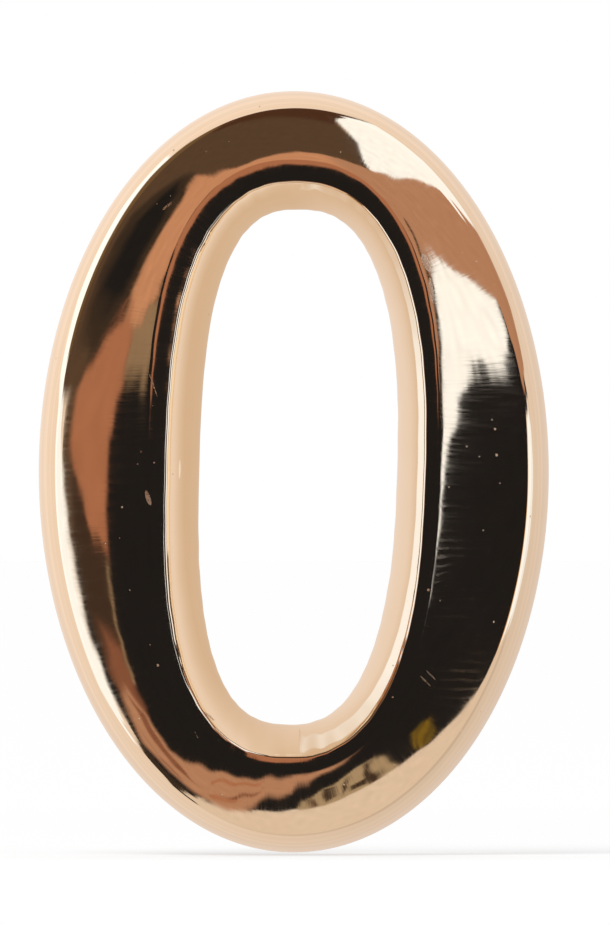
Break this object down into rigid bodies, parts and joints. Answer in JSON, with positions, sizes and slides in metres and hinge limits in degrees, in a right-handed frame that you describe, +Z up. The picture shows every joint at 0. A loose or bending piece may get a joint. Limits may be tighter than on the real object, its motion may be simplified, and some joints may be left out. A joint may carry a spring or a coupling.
{
  "type": "house number",
  "caption": "Polished brass house number zero: an oval ring with a crowned face, a bevel round its open middle and a hollow back.",
  "frame": {"origin": "middle of the oval outline, in the back plane that bears on the door", "axes": "+Z up along the height of the numeral, +X to the right as it is read, -Y out of the face towards the reader"},
  "size_m": [0.0403, 0.0055, 0.06],
  "materials": {
    "polished_brass": "hand polished to a mirror, with fine polishing streaks across the strokes, pits and small scratches"
  },
  "bodies": {
    "root": {"numeral_zero": "polished_brass"}
  },
  "joints": []
}
